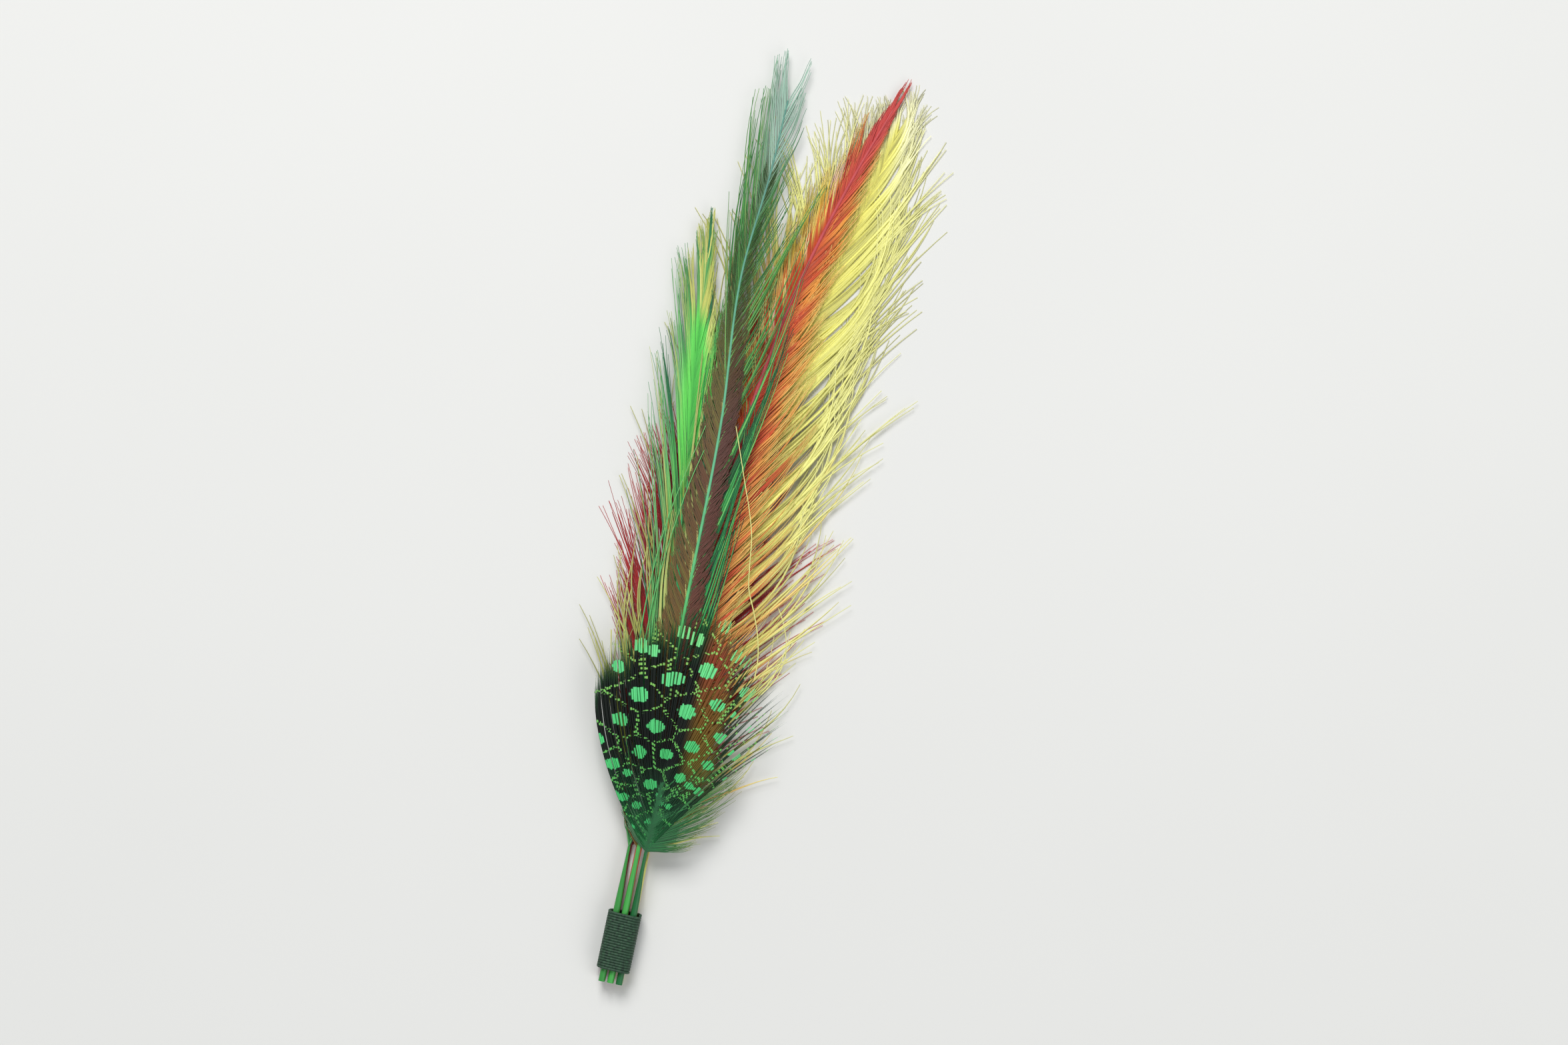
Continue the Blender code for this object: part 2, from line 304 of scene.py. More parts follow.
def through(stations, values, at):
    """The height at `at` of a smooth curve through the values that stand at the stations."""
    stations = np.asarray(stations, float)
    values = np.asarray(values, float)
    slopes = np.gradient(values, stations)
    k = int(np.clip(np.searchsorted(stations, at, side="right") - 1, 0, len(stations) - 2))
    step = stations[k + 1] - stations[k]
    f = (at - stations[k]) / step
    start = (1 + 2 * f) * (1 - f) ** 2 * values[k] + f * (1 - f) ** 2 * step * slopes[k]
    end = f**2 * (3 - 2 * f) * values[k + 1] + f**2 * (f - 1) * step * slopes[k + 1]
    return float(start + end)


def ease(low, high, at):
    f = min(max((at - low) / (high - low), 0.0), 1.0)
    return f * f * (3 - 2 * f)


def guide_points(feather):
    """The shaft's line in the plan: straight in the binding, then out to its own course."""
    xs, ys = zip(*feather.shaft)
    count = round((ys[-1] - QUILL_END_Y) / GUIDE_STEP)
    points = []
    for y in np.linspace(QUILL_END_Y, ys[-1], count + 1):
        bound = feather.quill[0] * QUILL_PITCH_X
        free = through(ys, xs, max(y, 0))
        points.append((bound + (free - bound) * ease(BINDING_Y[1], 0, y), y))
    return np.array(points)


def draw_line(name, points, closed=False):
    """A line of vertices as an object, which a tree can grow along."""
    mesh = bpy.data.meshes.new(name)
    count = len(points)
    edges = [(i, (i + 1) % count) for i in range(count if closed else count - 1)]
    mesh.from_pydata(points, edges, [])
    return put(name, mesh)


def build_guide(feather, *vanes):
    """The guide as an object, with the values of the given vanes, if any, on its vertices."""
    points = guide_points(feather)
    guide = draw_line(feather.name, [(x, y, 0) for x, y in points])
    shares = np.clip((points[:, 1] - FIRST_BARB_Y) / (feather.shaft[-1][1] - FIRST_BARB_Y), 0, 1)
    for side, vane in zip(("Left", "Right"), vanes):
        for what, values in (
            ("Lean", np.radians(vane.lean_deg)),
            ("Length", vane.length),
            ("Bow", np.radians(vane.bow_deg)),
            ("Short", vane.short),
        ):
            held = guide.data.attributes.new(f"{side} {what}", "FLOAT", "POINT")
            held.data.foreach_set("value", [through(STATIONS, values, s) for s in shares])
    return guide


def first_barb_share(feather):
    """How far along the guide's length the first barb stands."""
    points = guide_points(feather)
    steps = np.linalg.norm(np.diff(points, axis=0), axis=1)
    along = np.concatenate([[0], np.cumsum(steps)])
    return float(np.interp(FIRST_BARB_Y, points[:, 1], along) / along[-1])


for feather in FEATHERS:
    print(feather.name, "first barb at", round(first_barb_share(feather), 3), "of the guide")

# %% [markdown]
# ## The pile's height
# The feathers lie over one another, and each takes 0.9 mm of room near the quills and less towards the
# tips, where the short ones have ended. The pile swells a little along its middle. The solids follow the
# same rule, so each feather keeps its place among the others.

# %% Say how high a barb lies
VANE_THICKNESS = 0.3
LAYER_PITCH = 0.9
LAYER_PITCH_TIP = 0.66
PITCH_TAPER_Y = (30.0, 100.0)
LAYER_FADE = 24.0
SWELL = 0.35
SWELL_HALF_WIDTH = 14.0
SWELL_RISE_Y = (0.0, 25.0)
SWELL_FALL_Y = (50.0, 115.0)


def reach_y(feather):
    return feather.shaft[-1][1] + max(feather.left.length[-1], feather.right.length[-1])


def pile_height(net, layer, x, y):
    """The height of a layer's middle over the floor, at a place in the plan."""
    lift = 0.0
    for below in FEATHERS[:-1]:
        end = reach_y(below)
        lift = lift + (layer > below.layer + 0.5) * (1 - net.smooth(end, end + LAYER_FADE, y))
    pitch = mix(LAYER_PITCH, LAYER_PITCH_TIP, net.smooth(*PITCH_TAPER_Y, y))
    swell = SWELL * net.smooth(*SWELL_RISE_Y, y) * (1 - net.smooth(*SWELL_FALL_Y, y))
    bell = net.math("EXPONENT", (x / SWELL_HALF_WIDTH) * (x / SWELL_HALF_WIDTH) * -1)
    return VANE_THICKNESS / 2 + lift * pitch * (1 + swell * bell)


print("the feathers end", [reach_y(feather) for feather in FEATHERS], "mm from where they come together")

# %% [markdown]
# ## The trees that grow a feather
# Barbs repeat hundreds of times and follow the shaft, so Geometry Nodes grow them. One straight line is
# duplicated once for each barb, and every point of every line is then moved to its place by a sum. Real
# barbs cling together in tufts, so each barb draws towards the middle of its tuft as it nears the tip, and
# each tuft has a lean, a length and a height of its own. Some barbs stay short and thicken the vane near the
# shaft. The tree has named inputs, so one tree serves every feather, and a smaller one makes the shafts.

# %% Start a tree with named inputs
SOCKET_KINDS = {int: "NodeSocketInt", float: "NodeSocketFloat", type(None): "NodeSocketMaterial"}


class GrowthTree(Net):
    """A Geometry Nodes tree with named inputs, and the steps that both kinds of growth share."""

    def __init__(self, name, inputs):
        super().__init__(bpy.data.node_groups.new(name, "GeometryNodeTree"))
        face = self.tree.interface
        face.new_socket("Geometry", in_out="INPUT", socket_type="NodeSocketGeometry")
        face.new_socket("Geometry", in_out="OUTPUT", socket_type="NodeSocketGeometry")
        for label, default in inputs.items():
            socket = face.new_socket(label, in_out="INPUT", socket_type=SOCKET_KINDS[type(default)])
            if default is not None:
                socket.default_value = default
        self.given = self.node("NodeGroupInput")
        self.guide = self.add("GeometryNodeMeshToCurve", {"Mesh": self.take("Geometry")})

    def take(self, name):
        return self.out(self.given, name)

    def held(self, name):
        kind = "GeometryNodeInputNamedAttribute"
        return self.add(kind, {"Name": name}, "Attribute", data_type="FLOAT")

    def store(self, geometry, name, value, kind="FLOAT"):
        sockets = {"Geometry": geometry, "Name": name, "Value": value}
        return self.add("GeometryNodeStoreNamedAttribute", sockets, data_type=kind)

    def join(self, x, y, z):
        return self.add("ShaderNodeCombineXYZ", {"X": x, "Y": y, "Z": z})

    def straight_line(self, count):
        """One line with this many points, for the tree to bend."""
        sockets = {"Curve": self.add("GeometryNodeCurvePrimitiveLine"), "Count": count}
        return self.add("GeometryNodeResampleCurve", sockets, mode="COUNT")

    def guide_place(self, factor):
        """The x, y and z of the guide at a share of its length."""
        sockets = {"Curves": self.guide, "Factor": factor}
        return self.split(self.add("GeometryNodeSampleCurve", sockets, "Position"))

    def move(self, line, x, y, z):
        return self.add("GeometryNodeSetPosition", {"Geometry": line, "Position": self.join(x, y, z)})

    def skin(self, line, radius, sides, flatness):
        """A skin of the given radius round each line, flattened towards the floor."""
        line = self.add("GeometryNodeSetCurveNormal", {"Curve": line}, mode="Z_UP")
        outline = self.add("GeometryNodeCurvePrimitiveCircle", {"Resolution": sides, "Radius": 1.0})
        shape = self.join(1.0, flatness, 1.0)
        outline = self.add("GeometryNodeTransform", {"Geometry": outline, "Scale": shape})
        sockets = {"Curve": line, "Profile Curve": outline, "Scale": radius, "Fill Caps": True}
        return self.add("GeometryNodeCurveToMesh", sockets)

    def finish(self, geometry):
        """Puts the growth in its place in metres, and paints it."""
        metres = {"Geometry": geometry, "Scale": (MM, MM, MM), "Translation": tuple(layout_origin)}
        placed = self.add("GeometryNodeTransform", metres)
        smooth = self.add("GeometryNodeSetShadeSmooth", {"Geometry": placed})
        real = self.add("GeometryNodeRealizeInstances", {"Geometry": smooth})
        sockets = {"Geometry": real, "Material": self.take("Material")}
        painted = self.add("GeometryNodeSetMaterial", sockets)
        last = self.node("NodeGroupOutput")
        self.tree.links.new(painted.socket, last.inputs["Geometry"])
        print("the", self.tree.name, "tree has", len(self.tree.nodes), "nodes")
        return self.tree


# %% Build the shaft tree
SHAFT_INPUTS = {
    "Layer": 0,
    "Span": 120.0,
    "Quill Height": 1.35,
    "Girth": 1.0,
    "Sink": 0.0,
    "Material": None,
}
SHAFT_SIDES = 10


def build_shaft_tree():
    """The shaft and the quill as one tapered tube along the guide."""
    net = GrowthTree("shaft", SHAFT_INPUTS)
    x, y, _ = net.split(net.add("GeometryNodeInputPosition"))
    rise = net.smooth(BINDING_Y[1], 0, y)
    share = net.math("MAXIMUM", y / net.take("Span"), 0)
    free = mix(SHAFT_RADIUS, SHAFT_TIP_RADIUS, share) * net.take("Girth")
    girth = mix(QUILL_RADIUS, free, rise)
    z = mix(net.take("Quill Height"), pile_height(net, net.take("Layer"), x, y) - net.take("Sink"), rise)
    z = net.math("MAXIMUM", z, girth)
    line = net.store(net.guide, "girth", girth)
    line = net.store(line, "share", share)
    return net.finish(net.skin(net.move(line, x, y, z), net.held("girth"), SHAFT_SIDES, 1.0))


shaft_tree = build_shaft_tree()

# %% Build the barb tree
BARB_INPUTS = {
    "Pairs": 200,
    "Steps": 14,
    "Layer": 0,
    "First Barb": 0.15,
    "From": 0.0,
    "To": 1.0,
    "Span": 120.0,
    "Radius": 0.14,
    "Root Girth": 1.0,
    "Tip Radius": 0.035,
    "Taper From": 0.15,
    "Flatness": 0.7,
    "Thin": 0.0,
    "Tuft": 7.0,
    "Draw": 0.9,
    "Splay": 3.0,
    "Stray": 1.2,
    "Ragged": 0.22,
    "Short Length": 12.0,
    "Curl": 0.05,
    "Loft": 0.35,
    "Lift": 0.0,
    "Seed": 1,
    "Material": None,
}
DRAWS = (
    "barb place", "tuft lean", "barb lean", "tuft length", "barb length", "barb kind", "barb short length",
    "tuft bow", "tuft curl", "barb wave", "tuft height", "barb height", "barb shade", "tuft shade",
    "barb curl",
)
JITTER = 0.35
TUFT_WANDER = 1.4
WANDER_SCALE = 0.9
SIDES_APART = 51
WAVE = 0.12
WAVE_TURNS = 9.0
WAVE_START = (0, 6.3)
SHORTEST = 0.35
OWN_RAGGED = 0.5
TUFT_LEAN = (-1, 0.5)
BOW_SPREAD = (0.6, 1.3)
CALM_AT_TIP = 0.75
CALM_FROM = (0.8, 0.97)
TUFT_CURL = (-1.0, 0.45)
BARB_CURL = (-0.5, 0.5)
THIN_X = (7.0, 14.0)
LIFT_DONE = 0.3
GIRTH_DONE = 0.7
FLOOR_GAP = 0.01
BARB_SIDES = 4


class BarbTree(GrowthTree):
    """The tree that grows barbs, one step to a method."""

    def __init__(self):
        super().__init__("barbs", BARB_INPUTS)

    def chance(self, low, high, draw):
        """A number between low and high, the same for all points of a barb, or of a tuft's barbs."""
        ident = self.tuft if draw.startswith("tuft") else self.barb
        seed = self.take("Seed") + (DRAWS.index(draw) + 1)
        sockets = {"Min": low, "Max": high, "ID": ident, "Seed": seed}
        return self.add("FunctionNodeRandomValue", sockets, "Value", data_type="FLOAT")

    def on_guide(self, what, factor):
        """A vane's value at a share of the guide's length, from the side that the barb is on."""
        sides = []
        for side in ("Left", "Right"):
            sockets = {"Curves": self.guide, "Value": self.held(f"{side} {what}"), "Factor": factor}
            sides.append(self.add("GeometryNodeSampleCurve", sockets, "Value", data_type="FLOAT"))
        return mix(*sides, self.right)

    def number_barbs(self):
        """Duplicates one line for each barb, and says which barb, side and tuft a point belongs to."""
        line = self.straight_line(self.take("Steps"))
        sockets = {"Geometry": line, "Amount": self.take("Pairs") * 2}
        copies = self.node("GeometryNodeDuplicateElements", sockets, domain="SPLINE")
        self.lines = self.out(copies)
        self.barb = self.out(copies, "Duplicate Index")
        self.right = self.barb % 2
        self.side = self.right * 2 - 1
        self.pair = (self.barb - self.right) / 2
        self.u = self.add("GeometryNodeSplineParameter", key="Factor")
        place = self.pair / self.take("Tuft")
        w = place * WANDER_SCALE + self.right * SIDES_APART + self.take("Seed")
        wander = self.noise(w, 1.0, detail=1.0)
        place = place + wander * TUFT_WANDER
        self.tuft = self.math("FLOOR", place) * 2 + self.right
        self.from_middle = 0.5 - self.math("FRACT", place)

    def barb_length(self, factor, ragged):
        """The outline's length, less what this barb's tuft and the barb itself have lost."""
        length = self.on_guide("Length", factor)
        length = length * (1 - ragged * self.chance(0, 1, "tuft length"))
        length = length * (1 - ragged * OWN_RAGGED * self.chance(0, 1, "barb length"))
        is_short = self.chance(0, 1, "barb kind") < self.on_guide("Short", factor)
        short = self.take("Short Length") * self.chance(SHORTEST, 1, "barb short length")
        return mix(length, self.math("MINIMUM", length, short), is_short)

    def plan_barbs(self):
        """The plan position of every point of every barb."""
        pairs = self.take("Pairs")
        share = (self.pair + 0.5 + self.chance(-JITTER, JITTER, "barb place")) / pairs
        share = mix(self.take("From"), self.take("To"), share)
        factor = mix(self.take("First Barb"), 1, share)
        root_x, root_y, _ = self.guide_place(factor)
        calm = 1 - CALM_AT_TIP * self.smooth(*CALM_FROM, share)
        splay, stray = [self.take(name) * calm * math.radians(1) for name in ("Splay", "Stray")]
        lean = self.on_guide("Lean", factor) + splay * self.chance(*TUFT_LEAN, "tuft lean")
        lean = lean + stray * self.chance(-1, 1, "barb lean")
        length = self.barb_length(factor, self.take("Ragged") * calm)
        bend = lean + self.on_guide("Bow", factor) * self.chance(*BOW_SPREAD, "tuft bow")
        u = self.u
        belly = u * (1 - u) * length
        out_x, out_y = [
            self.math(turn, bend) * belly + self.math(turn, lean) * u * u * length
            for turn in ("SINE", "COSINE")
        ]
        curl = self.chance(*TUFT_CURL, "tuft curl") + self.chance(*BARB_CURL, "barb curl")
        hook = self.take("Curl") * curl * u * u * u * u * length
        wave = self.math("SINE", u * WAVE_TURNS + self.chance(*WAVE_START, "barb wave"))
        sideways = hook + wave * WAVE * u
        out_x = out_x + self.math("COSINE", lean) * sideways
        out_y = out_y - self.math("SINE", lean) * sideways
        spread = (self.take("To") - self.take("From")) * self.take("Span")
        draw = self.from_middle * self.take("Tuft") / pairs * spread
        draw = draw * self.take("Draw") * self.smooth(0, 1, u)
        self.share = share
        self.run = u * length
        self.away = out_x
        self.x = root_x + self.side * out_x
        self.y = root_y + out_y + draw

    def grow(self):
        """The barbs as thin tapered skins, lifted to their layer."""
        self.number_barbs()
        self.plan_barbs()
        height = (self.chance(0, 1, "tuft height") + self.chance(0, 1, "barb height")) / 2
        lift = (height - 0.5) * self.take("Loft") + self.take("Lift")
        z = pile_height(self, self.take("Layer"), self.x, self.y) + lift * self.smooth(0, LIFT_DONE, self.u)
        taper = 1 - self.smooth(self.take("Taper From"), 1, self.u)
        radius = mix(self.take("Tip Radius"), self.take("Radius"), taper)
        radius = radius * mix(self.take("Root Girth"), 1, self.smooth(0, GIRTH_DONE, self.u))
        radius = radius * (1 - self.take("Thin") * self.smooth(*THIN_X, self.x))
        z = self.math("MAXIMUM", z, radius * self.take("Flatness") + FLOOR_GAP)
        lines = self.move(self.lines, self.x, self.y, z)
        for name, value in (
            ("girth", radius),
            ("share", self.share),
            ("reach", self.u),
            ("run", self.run),
            ("away", self.away),
            ("side", self.side),
            ("barb", self.pair),
            ("height", height),
            ("chance", self.chance(0, 1, "barb shade")),
            ("tuft", self.chance(0, 1, "tuft shade")),
        ):
            lines = self.store(lines, name, value)
        lines = self.store(lines, "plan", self.join(self.x, self.y, 0.0), "FLOAT_VECTOR")
        return self.finish(self.skin(lines, self.held("girth"), BARB_SIDES, self.take("Flatness")))


barb_tree = BarbTree().grow()

# %% Grow one feather from its guides
def apply_tree(guide, tree, inputs):
    """Puts the tree on the guide with these inputs, and keeps only the mesh that it makes."""
    modifier = guide.modifiers.new("grow", "NODES")
    modifier.node_group = tree
    for socket in tree.interface.items_tree:
        if socket.in_out == "INPUT" and socket.name in inputs:
            modifier[socket.identifier] = inputs[socket.name]
    evaluated = guide.evaluated_get(bpy.context.evaluated_depsgraph_get())
    mesh = bpy.data.meshes.new_from_object(evaluated)
    piece = put(guide.name, mesh)
    bpy.data.objects.remove(guide)
    return piece


def claim(piece, node):
    """Attaches a finished piece to the root and hides the solid that it stands for."""
    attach(piece, "root")
    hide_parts(node)
    print(piece.name, sum(len(face.vertices) - 2 for face in piece.data.polygons), "triangles")


def gather(feather, *growths):
    """Makes one piece of a feather's growths, because they grew as one, and claims its solid."""
    piece = growths[0]
    with bpy.context.temp_override(active_object=piece, selected_editable_objects=list(growths)):
        bpy.ops.object.join()
    piece.name = piece.data.name = f"{feather.name}_barbs"
    claim(piece, feather.name)


def grow_shaft(feather, material, girth=1.0, sink=0.0):
    inputs = {
        "Layer": feather.layer,
        "Span": float(feather.shaft[-1][1]),
        "Quill Height": LOWER_QUILL_Z + feather.quill[1] * QUILL_PITCH_Z,
        "Girth": girth,
        "Sink": sink,
        "Material": material,
    }
    return apply_tree(build_guide(feather), shaft_tree, inputs)


STRAND = {"Girth": 0.32, "Sink": -0.25}
STRAND_STEP = 0.8


def grow_strand(feather, points, material, layer):
    """One loose barb that lies on top of a layer, through the given places in the plan."""
    xs, ys = zip(*points)
    places = [(through(ys, xs, y), y, 0) for y in np.arange(ys[0], ys[-1], STRAND_STEP)]
    inputs = {"Layer": layer, "Span": float(ys[-1]), "Material": material} | STRAND
    return apply_tree(draw_line(feather.name, places), shaft_tree, inputs)


def grow_barbs(feather, material, left=None, right=None, **changes):
    """Barbs on the feather's own vanes, or on the ones given here."""
    inputs = BARB_INPUTS | {name.replace("_", " "): value for name, value in changes.items()} | {
        "Layer": feather.layer,
        "First Barb": first_barb_share(feather),
        "Span": float(feather.shaft[-1][1]),
        "Material": material,
    }
    guide = build_guide(feather, left or feather.left, right or feather.right)
    return apply_tree(guide, barb_tree, inputs)


# %% [markdown]
# ## Colour on a feather
# Dye takes differently on every barb. The tree left its numbers on the mesh: how far up the shaft a barb
# stands (share), how far along the barb a point is (reach, and run in millimetres), how far it is from the
# shaft (away), how high it lies (height), and a random number for each barb (chance) and tuft (tuft). The
# materials mix their colours from these, so the paint follows the barbs however they bend. The height also
# puts painted shade on the low barbs and painted light on the high ones.

# %% Set up the paint
def srgb(digits):
    """A colour given as six hex digits, made the linear colour that shaders use."""
    shares = [c / 255 for c in bytes.fromhex(digits)]
    return (*[c / 12.92 if c <= 0.04045 else ((c + 0.055) / 1.055) ** 2.4 for c in shares], 1)


class Paint(Net):
    """A material's tree, with the feather's numbers at hand."""

    def __init__(self, name):
        self.material = bpy.data.materials.new(name)
        self.material.use_nodes = True
        super().__init__(self.material.node_tree)
        self.shader = self.tree.nodes["Principled BSDF"]

    def number(self, name):
        return self.add("ShaderNodeAttribute", key="Fac", attribute_name=name)

    def numbers(self, names):
        return [self.number(name) for name in names.split()]

    def plan(self):
        """Where a point lies in the plan: as a vector, and as its x and y."""
        place = self.add("ShaderNodeAttribute", key="Vector", attribute_name="plan")
        x, y, _ = self.split(place)
        return place, x, y

    def blend(self, first, second, share):
        """Two colours mixed: all first where share is 0, all second where it is 1."""
        sockets = {"Factor": share, "A": first, "B": second}
        return self.add("ShaderNodeMix", sockets, "Result", data_type="RGBA")

    def ramp(self, value, places, *colours):
        """A colour that changes along a value, with these colours at these places."""
        made = self.node("ShaderNodeValToRGB", {"Fac": value})
        ramp = made.color_ramp
        while len(ramp.elements) < len(places):
            ramp.elements.new(0.5)
        for element, place, colour in zip(ramp.elements, places, colours):
            element.position = place
            element.color = srgb(colour)
        return self.out(made, "Color")

    def brighten(self, colour, amount):
        """Scales a colour by a value."""
        sockets = {0: colour, "Scale": amount}
        return self.add("ShaderNodeVectorMath", sockets, "Vector", operation="SCALE")

    def connect(self, name, value):
        self.tree.links.new(value.socket, self.shader.inputs[name])

    def emboss(self, height, strength):
        """A relief as deep as the fine branches of a barb."""
        sockets = {"Height": height, "Strength": strength, "Distance": BARBULE_DEPTH}
        self.connect("Normal", self.add("ShaderNodeBump", sockets, "Normal"))


BARBULE_PER_MM = 1.6
BARBULE_DEPTH = 0.00002
BARBS_APART = 7.3
# how much a barb's height counts in the painted shade and light on the barbs
HEIGHT_SHADE_WEIGHT = 0.6
CHANCE_WEIGHT = 0.4
GRAIN_LIGHT = (0.93, 1.07)
SHAFT_GRAIN = 40.0


def barb_finish(paint, colour, roughness=(0.38, 0.52), sheen=0.2, shade_and_tone=(0.62, 1.25)):
    """Puts painted shade on the barbs that lie low and painted light on the high ones, varies the tone at
    random from barb to barb, and gives them a gloss broken by barbules.
    """
    height, chance, run, barb = paint.numbers("height chance run barb")
    # painted shade and light: low barbs are darkened and high ones lightened, mixed with a random tone per
    # barb
    painted_shade_and_tone = mix(*shade_and_tone, HEIGHT_SHADE_WEIGHT * height + CHANCE_WEIGHT * chance)
    grain = paint.noise(run * BARBULE_PER_MM + barb * BARBS_APART, 1.0)
    paint.connect("Base Color", paint.brighten(colour, painted_shade_and_tone * mix(*GRAIN_LIGHT, grain)))
    paint.connect("Roughness", mix(*roughness, chance))
    paint.emboss(grain, strength=0.3)
    paint.shader.inputs["Sheen Weight"].default_value = sheen
    paint.shader.inputs["Sheen Roughness"].default_value = 0.4
    return paint.material


def shaft_finish(name, places, *colours):
    """Dyed horn: a smooth colour along the shaft with a faint grain."""
    paint = Paint(name)
    share = paint.number("share")
    grain = paint.noise(share, SHAFT_GRAIN)
    paint.connect("Base Color", paint.brighten(paint.ramp(share, places, *colours), mix(0.85, 1.15, grain)))
    paint.connect("Roughness", mix(0.3, 0.5, grain))
    return paint.material


# %% [markdown]
# ## The red hackle
# Each hackle is a shaft and one or more growths of barbs, joined because they grew as one. The red one lies
# lowest. Its barbs are deep red, gather in ragged tufts on the left, and show as wisps far out on the right.

# %% Red hackle
def red_barbs():
    paint = Paint("dark_red_barbs")
    reach = paint.number("reach")
    return barb_finish(paint, paint.ramp(reach, (0, 0.5, 1), "801018", "b21c24", "d23636"))


red = PLACE["red_hackle"]
dark_red_shaft = shaft_finish("dark_red_shaft", (0, 1), "781e20", "a03232")
gather(
    red,
    grow_shaft(red, dark_red_shaft, girth=0.7),
    grow_barbs(
        red, red_barbs(),
        Pairs=520, Splay=6.0, Stray=2.5, Ragged=0.34, Tuft=9.0, Radius=0.16, Short_Length=27.0, Curl=0.07,
        Seed=11,
    ),
)

# %% [markdown]
# ## The yellow hackle
# The widest feather. Its barbs are bold and glossy, and many of them hook inwards at the tip. They are olive
# low on the left, and orange dye has run into those on the lower right. Two loose barbs have fallen over the
# front of the bunch; they are grown on lines of their own.

# %% Yellow hackle
STRAY_BARBS = (
    ((12.8, 31.7), (12.7, 34.9), (11.9, 38.6), (10.3, 42.8), (8.9, 45.9), (8.2, 49.7),
     (7.5, 54.6), (6.2, 58.8), (4.6, 62.9), (3.2, 66.6), (1.2, 71.8)),
    ((14.4, 29.6), (15.9, 31.9), (16.7, 34.2), (17.0, 36.3), (16.5, 39.3), (15.3, 42.2), (13.8, 44.7)),
)
DYE_CLUMPS = 0.4


def yellow_barbs():
    paint = Paint("yellow_barbs")
    share, reach, side, tuft, chance, barb = paint.numbers("share reach side tuft chance barb")
    clear = paint.ramp(reach, (0, 0.35, 1), "eae26c", "f2ee84", "f6f4aa")
    pale = paint.smooth(0.72, 0.95, share) * paint.smooth(0.2, 0.8, reach)
    clear = paint.blend(clear, srgb("f7f5c8"), pale)
    olive = paint.ramp(reach, (0, 0.5, 1), "828c3c", "bec060", "e4e28c")
    left_low = (side < 0) * (1 - paint.smooth(0.5, 0.75, share))
    fire = paint.ramp(reach, (0, 0.4, 0.7, 1), "e0542c", "f69254", "f6d680", "f0e896")
    low = paint.smooth(0.02, 0.05, share) * (1 - paint.smooth(0.24, 0.46, share + tuft * 0.1))
    dyed = (side > 0) * low * paint.smooth(0.48, 0.62, paint.noise(barb, DYE_CLUMPS) + (chance - 0.5) * 0.25)
    barbs = paint.blend(paint.blend(clear, olive, left_low), fire, dyed)
    return barb_finish(paint, barbs, shade_and_tone=(0.45, 1.3))


yellow = PLACE["yellow_hackle"]
pale_shaft = shaft_finish("pale_yellow_shaft", (0, 1), "ded878", "f4f09c")
gather(
    yellow,
    grow_shaft(yellow, pale_shaft, girth=0.35, sink=0.25),
    grow_barbs(
        yellow, yellow_barbs(),
        Pairs=380, Splay=3.5, Tuft=4.0, Draw=1.1, Radius=0.21, Tip_Radius=0.055, Taper_From=0.45, Curl=0.2,
        Ragged=0.24, Loft=0.5, Seed=23,
    ),
    *[grow_strand(yellow, points, pale_shaft, PLACE["guinea_feather"].layer) for points in STRAY_BARBS],
)

# %% [markdown]
# ## The orange hackle
# A close vane lies along its pink shaft and ends in a rounded red tip. Outside it, longer loose barbs run
# from red orange beside the shaft to yellow at their ends, and a few tufts stayed nearly white.

# %% Orange hackle
def orange_barbs():
    paint = Paint("orange_barbs")
    share, reach, side, tuft = paint.numbers("share reach side tuft")
    near = paint.ramp(share, (0, 0.4, 0.8, 0.93), "e26c38", "d44624", "ce5022", "ca4642")
    far = paint.ramp(share, (0, 0.35, 0.8, 0.93), "f8ce74", "f6b054", "f0a03c", "cc4842")
    left = paint.ramp(tuft, (0, 0.35, 0.65, 0.85, 1), "d64c26", "ee9432", "f0d654", "f0e278", "faccbe")
    below_tip = 1 - paint.smooth(0.82, 0.92, share)
    outer = paint.blend(far, left, (side < 0) * below_tip)
    barbs = paint.blend(near, outer, paint.smooth(0.2, 0.8, reach + (tuft - 0.5) * 0.4))
    barbs = paint.blend(barbs, srgb("f5da7c"), paint.smooth(0.6, 1.0, reach) * below_tip)
    return barb_finish(paint, barbs)


orange = PLACE["orange_hackle"]
pink_shaft = shaft_finish("pink_shaft", (0, 0.6, 1), "c45c3c", "cc545a", "c84c4c")
orange_material = orange_barbs()
gather(
    orange,
    grow_shaft(orange, pink_shaft, girth=1.2),
    grow_barbs(
        orange, orange_material,
        left=Vane((22, 20, 18, 9, -15), (9, 9, 10, 9, 6.5), (6,) * 5),
        right=Vane((44, 38, 35, 33, 21), (11, 15, 17, 16, 6.5), (6,) * 5),
        Pairs=400, Steps=10, Tuft=4.0, Draw=0.15, Splay=1.2, Stray=1.2, Ragged=0.3, Radius=0.15,
        Tip_Radius=0.035, Taper_From=0.3, Curl=0.02, Seed=31,
    ),
    grow_barbs(orange, orange_material, Pairs=240, To=0.9, Splay=2.5, Radius=0.15, Lift=-0.1, Seed=37),
)

# %% [markdown]
# ## The bright green hackle
# Its upper barbs lie so close beside the shaft that they shine like one sheet, and the lower ones are darker
# and softer. To the left they part into dark and pale strands, and the highest turn yellow at their ends.

# %% Bright green hackle
SHEET_FROM_Y = (52, 74)
SHEET_RAGGED = 10
SHEET_AWAY = (2.5, 6.0)


